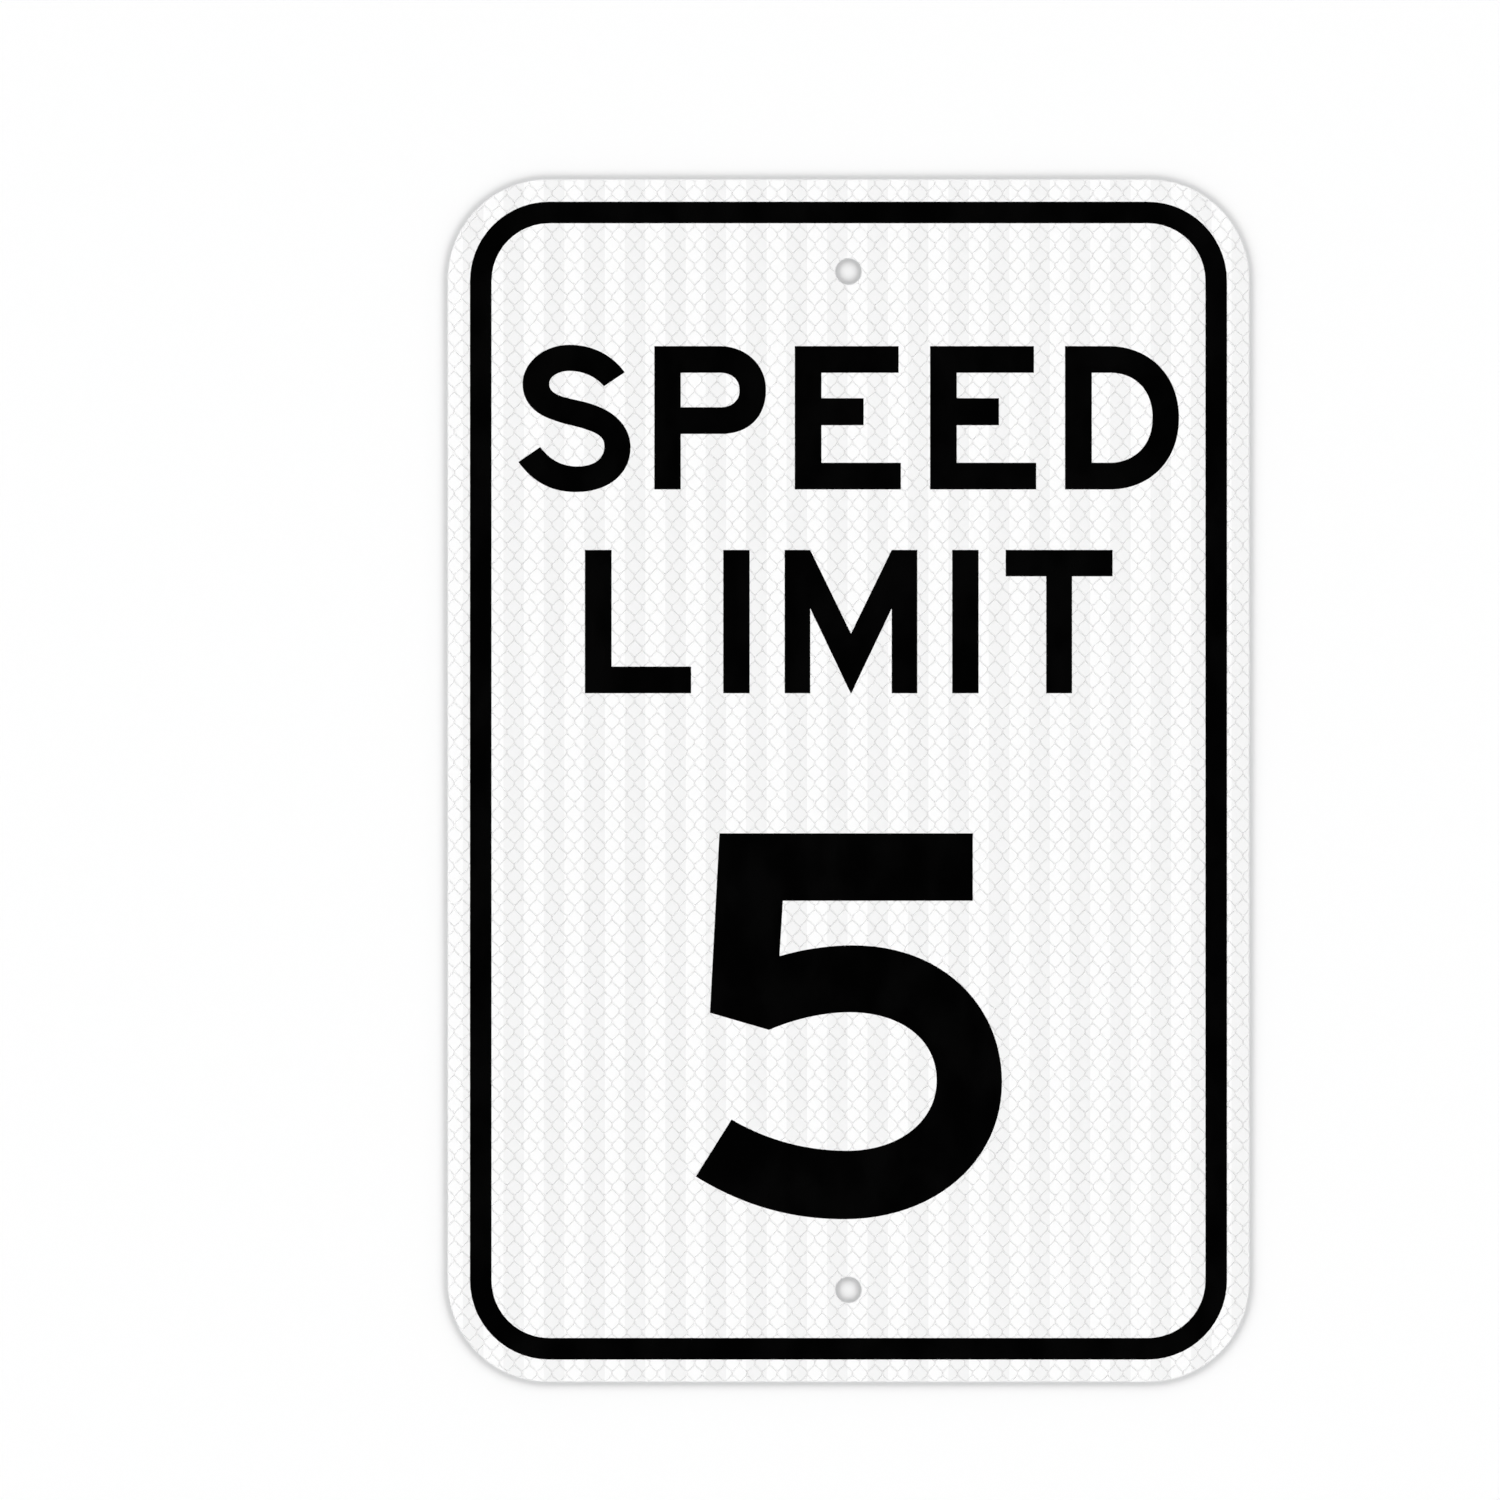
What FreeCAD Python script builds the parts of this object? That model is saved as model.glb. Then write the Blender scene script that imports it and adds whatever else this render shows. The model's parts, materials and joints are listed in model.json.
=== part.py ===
import FreeCAD, Part
import Sketcher
import enum
import math
import os

# A portrait road sign panel, held to a post by two bolts on its upright centre line.
# Frame: +Z up, the printed face looks along -Y, and the back of the panel is the plane y = 0.
# The origin is midway between the two bolt holes, on that back plane.

# Driving dimensions in millimetres: alias, value and what it measures.
DRIVING_SIZES = (
    ("blank_width", 304.8, "width of the punched panel"),
    ("blank_height", 457.2, "height of the punched panel"),
    ("blank_thickness", 1.6, "sheet gauge"),
    ("corner_radius", 38.1, "radius of the panel's four corners"),
    ("edge_break", 0.25, "rounding left by deburring the back edge"),
    ("hole_diameter", 10.0, "bolt hole"),
    ("hole_inset", 35.0, "bolt hole centre to the nearest end of the panel"),
    ("sheeting_thickness", 0.38, "reflective film with its adhesive"),
    ("border_margin", 8.5, "edge of the panel to the printed border"),
    ("border_width", 8.15, "width of the printed border"),
    ("border_radius", 30.1, "outer corner radius of the printed border"),
    ("ink_thickness", 0.05, "cured coat of screen ink"),
)

QUARTER_TURN = math.pi / 2


class Spot(enum.IntEnum):
    """The points of a line or an arc, as a sketch's constraints number them."""

    START = 1
    END = 2
    CENTRE = 3


class Axis(enum.IntEnum):
    """A sketch's own axes, as its constraints number them. LEVEL's start is the origin."""

    LEVEL = -1
    UPRIGHT = -2


def make_size_sheet(doc):
    """Write the driving dimensions into the sheet, one row each, under their aliases."""
    sheet = doc.addObject("Spreadsheet::Sheet", "sizes")
    for row, (alias, value, meaning) in enumerate(DRIVING_SIZES, start=1):
        sheet.set(f"A{row}", alias)
        sheet.set(f"B{row}", str(value))
        sheet.set(f"C{row}", meaning)
        sheet.setAlias(f"B{row}", alias)
    doc.recompute()
    return sheet


def make_body(doc, label):
    """Start the body of one sub-part, under the label that names its file."""
    body = doc.addObject("PartDesign::Body", label)
    body.Label = label
    body.Placement = FreeCAD.Placement()
    return body


def front_sketch(body, name, forward=None):
    """Start a sketch on the body's own XZ plane, or in front of it by an expression.

    The sketch's x runs along +X, its y along +Z, and its normal along -Y, towards the viewer.
    """
    plane = next(part for part in body.Origin.OriginFeatures if part.Role == "XZ_Plane")
    sketch = body.newObject("Sketcher::SketchObject", name)
    sketch.AttachmentSupport = [(plane, "")]
    sketch.MapMode = "FlatFace"
    if forward:
        sketch.setExpression("AttachmentOffset.Base.z", forward)
    return sketch


def bind(sketch, constraint, name, expression):
    """Add a named dimension to the sketch and drive it by an expression on the sheet."""
    sketch.addConstraint(constraint)
    sketch.renameConstraint(sketch.ConstraintCount - 1, name)
    sketch.setExpression(f"Constraints.{name}", expression)


def centre_on_origin(sketch, first, second):
    """Hold the centres of two arcs or circles at equal distances either side of the origin."""
    sketch.addConstraint(Sketcher.Constraint(
        "Symmetric", first, Spot.CENTRE, second, Spot.CENTRE, Axis.LEVEL, Spot.START))


def add_rounded_outline(sketch, prefix, width, height, radius, draft):
    """Add a closed rounded rectangle, centred on the sketch's origin.

    Four straight sides are joined by four tangent quarter arcs of one radius. The expressions
    width, height and radius drive it. draft holds the same three sizes as numbers, for the shape
    that the solver starts from.
    """
    half_x, half_z, bend = draft[0] / 2, draft[1] / 2, draft[2]
    side_x, side_z = half_x - bend, half_z - bend
    side_ends = (
        ((side_x, half_z), (-side_x, half_z)),
        ((-half_x, side_z), (-half_x, -side_z)),
        ((-side_x, -half_z), (side_x, -half_z)),
        ((half_x, -side_z), (half_x, side_z)),
    )
    centres = ((-side_x, side_z), (-side_x, -side_z), (side_x, -side_z), (side_x, side_z))
    facing = FreeCAD.Vector(0, 0, 1)
    sides = []
    corners = []
    for turn, ((start, end), centre) in enumerate(zip(side_ends, centres), start=1):
        line = Part.LineSegment(FreeCAD.Vector(*start, 0), FreeCAD.Vector(*end, 0))
        circle = Part.Circle(FreeCAD.Vector(*centre, 0), facing, bend)
        arc = Part.ArcOfCircle(circle, turn * QUARTER_TURN, (turn + 1) * QUARTER_TURN)
        sides.append(sketch.addGeometry(line, False))
        corners.append(sketch.addGeometry(arc, False))
    for turn in range(4):
        following = sides[(turn + 1) % 4]
        sketch.addConstraint(
            Sketcher.Constraint("Tangent", sides[turn], Spot.END, corners[turn], Spot.START))
        sketch.addConstraint(
            Sketcher.Constraint("Tangent", corners[turn], Spot.END, following, Spot.START))
    for corner in corners[1:]:
        sketch.addConstraint(Sketcher.Constraint("Equal", corners[0], corner))
    top, left, bottom, right = sides
    sketch.addConstraint(Sketcher.Constraint("Horizontal", top))
    sketch.addConstraint(Sketcher.Constraint("Horizontal", bottom))
    sketch.addConstraint(Sketcher.Constraint("Vertical", left))
    sketch.addConstraint(Sketcher.Constraint("Vertical", right))
    centre_on_origin(sketch, corners[0], corners[2])
    bind(sketch, Sketcher.Constraint("DistanceX", left, Spot.START, right, Spot.START, draft[0]),
         f"{prefix}_width", width)
    bind(sketch, Sketcher.Constraint("DistanceY", bottom, Spot.START, top, Spot.START, draft[1]),
         f"{prefix}_height", height)
    bind(sketch, Sketcher.Constraint("Radius", corners[0], bend), f"{prefix}_radius", radius)


def add_bolt_holes(sketch, sheet):
    """Add the two bolt holes, on the upright centre line, as far above the origin as below."""
    reach = sheet.blank_height / 2 - sheet.hole_inset
    radius = sheet.hole_diameter / 2
    facing = FreeCAD.Vector(0, 0, 1)
    upper = sketch.addGeometry(Part.Circle(FreeCAD.Vector(0, reach, 0), facing, radius), False)
    lower = sketch.addGeometry(Part.Circle(FreeCAD.Vector(0, -reach, 0), facing, radius), False)
    sketch.addConstraint(Sketcher.Constraint("PointOnObject", upper, Spot.CENTRE, Axis.UPRIGHT))
    centre_on_origin(sketch, upper, lower)
    sketch.addConstraint(Sketcher.Constraint("Equal", upper, lower))
    bind(sketch,
         Sketcher.Constraint("DistanceY", lower, Spot.CENTRE, upper, Spot.CENTRE, 2 * reach),
         "hole_spacing", "sizes.blank_height - 2 * sizes.hole_inset")
    bind(sketch, Sketcher.Constraint("Diameter", upper, 2 * radius),
         "hole_diameter", "sizes.hole_diameter")


def panel_outline(sketch, sheet):
    """Draw the panel's own outline, which the blank and the sheeting on it share."""
    draft = (sheet.blank_width, sheet.blank_height, sheet.corner_radius)
    add_rounded_outline(sketch, "panel", "sizes.blank_width", "sizes.blank_height",
                        "sizes.corner_radius", draft)


def pad_forward(body, name, sketch, thickness):
    """Pad a sketch towards the viewer by an expression."""
    pad = body.newObject("PartDesign::Pad", name)
    pad.Profile = sketch
    pad.setExpression("Length", thickness)
    body.Document.recompute()
    return pad


def punch_bolt_holes(body, name, sheet, forward=None):
    """Cut the two bolt holes right through a body that lies in front of the sketch plane."""
    sketch = front_sketch(body, f"{name}_sketch", forward)
    add_bolt_holes(sketch, sheet)
    before = body.Tip.Shape.Volume
    pocket = body.newObject("PartDesign::Pocket", name)
    pocket.Profile = sketch
    pocket.Type = "ThroughAll"
    pocket.Reversed = True
    body.Document.recompute()
    if not pocket.Shape.Volume < before:
        raise ValueError(f"{name} removed nothing from {body.Label}")
    return pocket


def back_edges(shape):
    """Name the edges that lie wholly in the back plane y = 0."""
    flat = 1e-6
    names = []
    for number, edge in enumerate(shape.Edges, start=1):
        box = edge.BoundBox
        if abs(box.YMin) < flat and abs(box.YMax) < flat:
            names.append(f"Edge{number}")
    return names


def make_aluminium_blank(doc, sheet):
    """Punch the flat panel: rounded outline, eased back edge and two bolt holes."""
    body = make_body(doc, "aluminium_blank")
    outline = front_sketch(body, "blank_outline")
    panel_outline(outline, sheet)
    pad = pad_forward(body, "blank_sheet", outline, "sizes.blank_thickness")
    eased = body.newObject("PartDesign::Fillet", "blank_edge_break")
    eased.Base = (pad, back_edges(pad.Shape))
    eased.setExpression("Radius", "min(sizes.edge_break; 0.45 * sizes.blank_thickness)")
    doc.recompute()
    punch_bolt_holes(body, "blank_bolt_holes", sheet)
    return body


def make_reflective_sheeting(doc, sheet):
    """Lay the film on the front of the blank, trimmed flush with its outline and its holes."""
    body = make_body(doc, "reflective_sheeting")
    outline = front_sketch(body, "sheeting_outline", "sizes.blank_thickness")
    panel_outline(outline, sheet)
    pad_forward(body, "sheeting_film", outline, "sizes.sheeting_thickness")
    punch_bolt_holes(body, "sheeting_bolt_holes", sheet, "sizes.blank_thickness")
    return body


def make_printed_border(doc, sheet):
    """Print the border: one band of even width, with concentric corners, on the film."""
    body = make_body(doc, "printed_border")
    band = front_sketch(body, "border_band", "sizes.blank_thickness + sizes.sheeting_thickness")
    outer = (sheet.blank_width - 2 * sheet.border_margin,
             sheet.blank_height - 2 * sheet.border_margin,
             sheet.border_radius)
    inner = (outer[0] - 2 * sheet.border_width,
             outer[1] - 2 * sheet.border_width,
             outer[2] - sheet.border_width)
    add_rounded_outline(
        band, "outer",
        "sizes.blank_width - 2 * sizes.border_margin",
        "sizes.blank_height - 2 * sizes.border_margin",
        "sizes.border_radius", outer)
    add_rounded_outline(
        band, "inner",
        "sizes.blank_width - 2 * (sizes.border_margin + sizes.border_width)",
        "sizes.blank_height - 2 * (sizes.border_margin + sizes.border_width)",
        "sizes.border_radius - sizes.border_width", inner)
    pad_forward(body, "border_ink", band, "sizes.ink_thickness")
    return body


def check_document(doc, bodies):
    """Stop if an object of the document failed, or if a sub-part has no sound solid."""
    for item in doc.Objects:
        if "Invalid" in item.State or "Error" in item.State:
            raise ValueError(f"{item.Name} failed: {item.State}")
    for body in bodies:
        if body.Shape.isNull() or not body.Shape.isValid():
            raise ValueError(f"{body.Label} has no sound shape")


def main():
    """Build the sign panel and write one STEP file for each sub-part."""
    doc = FreeCAD.newDocument("sign_panel")
    sheet = make_size_sheet(doc)
    bodies = [
        make_aluminium_blank(doc, sheet),
        make_reflective_sheeting(doc, sheet),
        make_printed_border(doc, sheet),
    ]
    doc.recompute()
    check_document(doc, bodies)
    os.makedirs("parts", exist_ok=True)
    for body in bodies:
        body.Shape.exportStep(f"parts/{body.Label}.step")
        print(f"{body.Label}: {body.Shape.Volume:.2f} mm3")


main()
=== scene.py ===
import json
import logging
import math
from collections.abc import Callable, Iterable
from dataclasses import dataclass, field
from enum import Enum
from functools import cached_property, partial

import bpy
import numpy as np
from bpy.types import Material, NodeSocket, NodeTree, Object, ShaderNode, World
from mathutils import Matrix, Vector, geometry


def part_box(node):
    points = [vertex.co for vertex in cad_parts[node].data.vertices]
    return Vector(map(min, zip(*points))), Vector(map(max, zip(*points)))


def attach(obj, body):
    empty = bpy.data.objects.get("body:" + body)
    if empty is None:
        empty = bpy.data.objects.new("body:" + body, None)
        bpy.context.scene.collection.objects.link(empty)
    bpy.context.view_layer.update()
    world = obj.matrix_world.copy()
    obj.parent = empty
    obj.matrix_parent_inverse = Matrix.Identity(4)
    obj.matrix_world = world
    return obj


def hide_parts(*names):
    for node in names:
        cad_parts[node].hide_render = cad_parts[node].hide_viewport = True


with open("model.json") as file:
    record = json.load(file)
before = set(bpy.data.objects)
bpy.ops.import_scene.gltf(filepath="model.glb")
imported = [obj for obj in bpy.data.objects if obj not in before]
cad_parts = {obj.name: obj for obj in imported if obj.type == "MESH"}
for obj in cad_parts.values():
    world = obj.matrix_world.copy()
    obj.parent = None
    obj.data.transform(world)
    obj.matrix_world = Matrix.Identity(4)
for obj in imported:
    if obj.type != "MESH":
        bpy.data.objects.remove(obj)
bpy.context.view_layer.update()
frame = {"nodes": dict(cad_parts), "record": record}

# A speed limit sign: a punched aluminium panel, retroreflective film with sealed cells, and black
# screen ink. The frame is the CAD model's: +Z up, the face looks along -Y, the back is y = 0 and
# the origin is midway between the two bolt holes. Shapes are worked out in millimetres.

MM = 0.001
LOG = logging.getLogger("speed_limit_sign")

# Filling an outline takes points closer than SAME_PLACE as one. A length that something is
# divided by is LEAST_LENGTH or more.
SAME_PLACE = 1e-6
LEAST_LENGTH = 1e-9

# The settings that nodes of these kinds have where a call gives no others.
USUAL_SETTINGS = {
    "MapRange": {"interpolation_type": "SMOOTHSTEP"},
    "Mix": {"data_type": "RGBA"},
}

# Most of a noise lies in the first span. Below the second, the y of a surface's normal makes it a
# cut edge, and above it a face.
NOISE_SPAN = (0.3, 0.7)
EDGE_SPAN = (0.3, 0.8)

Colour = tuple[float, float, float, float]
Point = tuple[float, float]
Span = tuple[float, float]
Size = tuple[float, float, float]
Contour = np.ndarray
AddNode = Callable[..., ShaderNode]


class Node(str, Enum):
    """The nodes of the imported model."""

    BLANK = "aluminium_blank"
    SHEETING = "reflective_sheeting"
    BORDER = "printed_border"


class Slot(str, Enum):
    """The record's material slots."""

    BLANK = "blank"
    SHEETING = "sheeting"
    INK = "ink"


class Mark(str, Enum):
    """The numbers that the film's points carry for its material."""

    SEAL = "seal"
    SHADE = "shade"


class Row(Enum):
    """The two interleaved sets of cell rows, and how far each is shifted, in pitches."""

    PLAIN = 0.0
    SHIFTED = 0.5


def linear(colour: str) -> Colour:
    """Turn an sRGB hex colour into the linear colour that shaders take.

    Args:
        colour: the colour as "#RRGGBB".

    Returns:
        Linear red, green and blue, with an alpha of one.
    """
    shares = [int(colour[i:i + 2], 16) / 255 for i in (1, 3, 5)]
    red, green, blue = (s / 12.92 if s <= 0.04045 else ((s + 0.055) / 1.055) ** 2.4 for s in shares)
    return red, green, blue, 1.0


def add_node(tree: NodeTree, kind: str, sockets: dict | tuple = (),
             **settings: object) -> ShaderNode:
    """Add a node with its settings, its socket values and the links into it.

    Args:
        tree: the node tree that takes the node.
        kind: the node's type name, after "ShaderNode".
        sockets: what the inputs take, in order, or by name or number: a value, an output, or
            another node, which stands for its first output in use.
        settings: the node's own properties.

    Returns:
        The new node.
    """
    node = tree.nodes.new(f"ShaderNode{kind}")
    for name, value in (USUAL_SETTINGS.get(kind, {}) | settings).items():
        setattr(node, name, value)
    for place, value in sockets.items() if isinstance(sockets, dict) else enumerate(sockets):
        if isinstance(value, ShaderNode):
            value = next(output for output in value.outputs if output.enabled)
        if isinstance(value, NodeSocket):
            tree.links.new(value, node.inputs[place])
        else:
            node.inputs[place].default_value = value
    return node


def start_nodes(owner: Material | World) -> AddNode:
    """Empty the node tree of a material or of the world.

    Args:
        owner: the material or the world.

    Returns:
        The function that adds a node to that tree.
    """
    owner.use_nodes = True
    owner.node_tree.nodes.clear()
    return partial(add_node, owner.node_tree)


@dataclass(frozen=True)
class Noise:
    """Noise on Object coordinates, drawn out along the sign's own axes.

    The size of its lumps is in millimetres. The detail is the number of finer layers, and the
    turn is in the plane of the sign, in degrees.
    """

    size: Size
    detail: float = 2.0
    turn: float = 0.0
    roughness: float = 0.55

    def add_to(self, add: AddNode) -> ShaderNode:
        """Add the nodes that make this noise.

        Args:
            add: the function that adds a node to the material.

        Returns:
            The noise, from zero to one.
        """
        place = add("TexCoord").outputs["Object"]
        turn = (0.0, math.radians(self.turn), 0.0)
        place = add("Mapping", {"Vector": place, "Rotation": turn})
        place = add("Mapping", {"Vector": place, "Scale": [1 / (s * MM) for s in self.size]})
        return add("TexNoise", {
            "Vector": place, "Scale": 1.0, "Detail": self.detail, "Roughness": self.roughness})


def weighted_sum(add: AddNode, terms: Iterable[tuple[object, float]]) -> ShaderNode:
    """Add up values, each times its own share.

    Args:
        add: the function that adds a node to the material.
        terms: each value with its share.

    Returns:
        The sum.
    """
    total = 0.0
    for value, share in terms:
        total = add("Math", (value, share, total), operation="MULTIPLY_ADD")
    return total


def cut_edge(add: AddNode) -> ShaderNode:
    """Tell the panel's cut edges and bores from its front and back by the way they face.

    Args:
        add: the function that adds a node to the material.

    Returns:
        One on a surface that stands upright to the sign's plane, and zero on one that lies in it.
    """
    facing = add("NewGeometry").outputs["True Normal"]
    forward = add("SeparateXYZ", (facing,)).outputs["Y"]
    flatness = add("Math", (forward,), operation="ABSOLUTE")
    return add("MapRange", (flatness, *EDGE_SPAN, 1.0, 0.0))


@dataclass(frozen=True)
class Finish:
    """A surface finish of the sign, which becomes one material in one of its slots."""

    name: str
    slot: Slot

    @cached_property
    def material(self) -> Material:
        """Make the material that this finish describes, the first time that it is asked for.

        Returns:
            The material.
        """
        made = bpy.data.materials.new(self.name)
        add = start_nodes(made)
        add("OutputMaterial", {"Surface": add("BsdfPrincipled", self.surface(add))})
        return made

    def surface(self, add: AddNode) -> dict[str, object]:
        """Work out what the shader's sockets take. Each finish has its own."""
        raise NotImplementedError


@dataclass(frozen=True)
class MillAluminium(Finish):
    """Mill-finish sheet aluminium, cold rolled along the panel's height.

    Rolling leaves a pale grey metal with long fine grain lines and soft lengthwise streaks, so
    its highlights spread sideways. Handling adds a few thin scratches at odd angles. The punch
    and the shear leave the edges duller and darker than the faces, and they are drawn darker
    still than sheared metal is: painted shade, so that they throw back less light and the sign's
    shadow on the wall is deeper round the outline and in the bolt holes.
    """

    name: str = "mill_finish_aluminium"
    slot: Slot = Slot.BLANK
    pale: str = "#D3D5D7"
    deep: str = "#C5C8CB"
    scratch: str = "#E6E7E8"
    # Darker than sheared aluminium really is: painted shade, which deepens the shadow on the wall at
    # the edges and holes.
    sheared_and_rim_shade: str = "#5E6164"
    # Real rolling grain is about 0.05 mm wide. It is drawn 0.35 mm wide so that it shows.
    grain: Noise = Noise((0.35, 0.35, 60.0))
    streaks: Noise = Noise((3.0, 3.0, 180.0))
    clouds: Noise = Noise((70.0, 70.0, 90.0))
    shares: Size = (0.55, 0.25, 0.2)
    roughness: Span = (0.43, 0.34)
    sheared_roughness: float = 0.15
    relief: float = 0.02
    relief_strength: float = 0.35
    # A scratch is the crest of a noise, and so it is narrower than the noise's 0.8 mm lumps.
    scratches: tuple[Noise, ...] = (
        Noise((0.8, 0.8, 90.0), 0.0, 17.0), Noise((0.8, 0.8, 70.0), 0.0, -28.0),
        Noise((0.8, 0.8, 110.0), 0.0, 74.0))
    scratch_crest: Span = (0.83, 0.87)
    scratch_shine: float = 0.55
    scratch_depth: float = 0.5

    def surface(self, add: AddNode) -> dict[str, object]:
        """Streak the grey, vary the gloss with the grain and lay the scratches over it.

        Args:
            add: the function that adds a node to the material.

        Returns:
            What the shader's sockets take, by name.
        """
        noises = [noise.add_to(add) for noise in (self.grain, self.streaks, self.clouds)]
        mixed = weighted_sum(add, zip(noises, self.shares))
        tone = add("MapRange", (mixed, *NOISE_SPAN, 0.0, 1.0))
        metal = add("Mix", {0: tone, 6: linear(self.deep), 7: linear(self.pale)})
        scratched = self.scratched(add)
        shine = add("Math", (scratched, self.scratch_shine), operation="MULTIPLY")
        metal = add("Mix", {0: shine, 6: metal, 7: linear(self.scratch)})
        # The cut edges take the sheared grey, darkened as painted shade for the wall's shadow at the
        # rims.
        edge = cut_edge(add)
        gloss = add("MapRange", (mixed, *NOISE_SPAN, *self.roughness))
        height = weighted_sum(add, ((mixed, 1.0), (scratched, -self.scratch_depth)))
        return {
            "Base Color": add("Mix", {0: edge, 6: metal, 7: linear(self.sheared_and_rim_shade)}),
            "Metallic": 1.0,
            "Roughness": weighted_sum(add, ((gloss, 1.0), (edge, self.sheared_roughness))),
            "Normal": add("Bump", {"Height": height, "Strength": self.relief_strength,
                                   "Distance": self.relief * MM}),
        }

    def scratched(self, add: AddNode) -> ShaderNode:
        """Draw thin scratches in three directions, each the crest of a long narrow noise.

        Args:
            add: the function that adds a node to the material.

        Returns:
            One on a scratch and zero beside it.
        """
        found = 0.0
        for noise in self.scratches:
            crest = add("MapRange", (noise.add_to(add), *self.scratch_crest, 0.0, 1.0))
            found = add("Math", (found, crest), operation="MAXIMUM")
        return found


@dataclass(frozen=True)
class PrismaticFilm(Finish):
    """White high-intensity prismatic film: sealed cells under a clear acrylic face.

    The cells' cushions are bright and their seals are a little greyer. The tool that pressed the
    prisms leaves upright bands, alternately brighter and greyer, with sharp edges that run
    straight through the cells. The clear face is smooth and glossy, and where the film is cut its
    edge shows the greyer backing and adhesive, drawn darker than it is as painted shade, so that
    the sign's shadow on the wall is deeper at the rims of the bolt holes.
    """

    name: str = "prismatic_sheeting"
    slot: Slot = Slot.SHEETING
    bright_cell: str = "#FEFEFE"
    bright_seal: str = "#FCFCFC"
    grey_cell: str = "#F6F6F6"
    grey_seal: str = "#F5F5F5"
    # The backing's grey, darkened further: painted shade for the shadow at the holes' rims.
    cut: str = "#8C8C8A"
    band_period: float = 15.38
    band_width: float = 7.8
    band_centre: float = -127.3
    band_softness: float = 0.25
    # Real prisms are about 0.2 mm wide. Their sparkle, a glitter of light, is painted into the
    # colour as a noise 0.75 mm wide so that it shows.
    prisms: Noise = Noise((0.75, 0.75, 0.75), 1.0)
    painted_sparkle: Span = (-0.1, 0.14)
    clouds: Noise = Noise((45.0, 45.0, 60.0))
    drift: Span = (-0.04, 0.04)
    roughness: Span = (0.16, 0.24)
    acrylic_ior: float = 1.49
    specular: float = 0.3

    def surface(self, add: AddNode) -> dict[str, object]:
        """Colour the cells and seals by band, and give the face its gloss.

        Args:
            add: the function that adds a node to the material.

        Returns:
            What the shader's sockets take, by name.
        """
        grey = self.greyness(add)
        pairs = ((self.bright_cell, self.grey_cell), (self.bright_seal, self.grey_seal))
        cell, net = (add("Mix", {0: grey, 6: linear(light), 7: linear(dark)})
                     for light, dark in pairs)
        terms = [add("Attribute", attribute_name=mark.value).outputs["Fac"] for mark in Mark]
        clouds = self.clouds.add_to(add)
        # The prisms' noise adds painted sparkle to the colour, and the clouds a drift in tone.
        for noise, reach in ((self.prisms.add_to(add), self.painted_sparkle), (clouds, self.drift)):
            terms.append(add("MapRange", (noise, *NOISE_SPAN, *reach)))
        share = add("Clamp", (weighted_sum(add, [(term, 1.0) for term in terms]),))
        face = add("Mix", {0: share, 6: cell, 7: net})
        # The cut edges take the backing's grey, partly darkened as painted shade.
        edge = cut_edge(add)
        return {
            "Base Color": add("Mix", {0: edge, 6: face, 7: linear(self.cut)}),
            "Roughness": add("MapRange", (clouds, *NOISE_SPAN, *self.roughness)),
            "IOR": self.acrylic_ior,
            "Specular IOR Level": self.specular,
        }

    def greyness(self, add: AddNode) -> ShaderNode:
        """Tell the grey bands from the bright ones.

        The distance across from the middle of the nearest grey band is a zigzag between zero and
        half a period. The greyness falls from one to zero where that passes half a band's width.

        Args:
            add: the function that adds a node to the material.

        Returns:
            One in the grey bands and zero in the bright ones.
        """
        place = add("TexCoord").outputs["Object"]
        across = add("SeparateXYZ", (place,)).outputs["X"]
        beside = add("Math", (across, 1 / MM, -self.band_centre), operation="MULTIPLY_ADD")
        away = add("Math", (beside, self.band_period / 2), operation="PINGPONG")
        half, soft = self.band_width / 2, self.band_softness / 2
        return add("MapRange", (away, half - soft, half + soft, 1.0, 0.0))


@dataclass(frozen=True)
class ScreenInk(Finish):
    """Black screen ink on film: a deep satin black coat.

    The squeegee leaves a very even layer, whose gloss varies softly, with the faint weave of the
    screen in it.
    """

    name: str = "black_screen_ink"
    slot: Slot = Slot.INK
    black: str = "#000000"
    worn: str = "#020202"
    worn_span: Span = (0.35, 0.65)
    clouds: Noise = Noise((18.0, 18.0, 30.0), 3.0)
    # A screen's threads are about 0.1 mm apart. The weave is drawn 0.7 mm wide so that it shows.
    weave: Noise = Noise((0.7, 0.7, 0.7), 1.0)
    relief: float = 0.01
    relief_strength: float = 0.1
    roughness: Span = (0.21, 0.28)
    specular: float = 0.12

    def surface(self, add: AddNode) -> dict[str, object]:
        """Vary the black and its gloss a little, and add the weave's relief.

        Args:
            add: the function that adds a node to the material.

        Returns:
            What the shader's sockets take, by name.
        """
        clouds = self.clouds.add_to(add)
        tone = add("MapRange", (clouds, *self.worn_span, 0.0, 1.0))
        weave = self.weave.add_to(add)
        return {
            "Base Color": add("Mix", {0: tone, 6: linear(self.black), 7: linear(self.worn)}),
            "Roughness": add("MapRange", (clouds, *NOISE_SPAN, *self.roughness)),
            "Normal": add("Bump", {"Height": weave, "Strength": self.relief_strength,
                                   "Distance": self.relief * MM}),
            "Specular IOR Level": self.specular,
        }


@dataclass(frozen=True)
class Backdrop:
    """Matt paint or paper of the studio, which shows from its front only."""

    name: str
    colour: str

    def material(self) -> Material:
        """Make the material, through which the sign can be seen from behind or from below.

        Returns:
            The new material.
        """
        made = bpy.data.materials.new(self.name)
        add = start_nodes(made)
        behind = add("NewGeometry").outputs["Backfacing"]
        paint = add("BsdfDiffuse", {"Color": linear(self.colour)})
        both = add("MixShader", (behind, paint, add("BsdfTransparent")))
        add("OutputMaterial", {"Surface": both})
        return made


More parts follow.
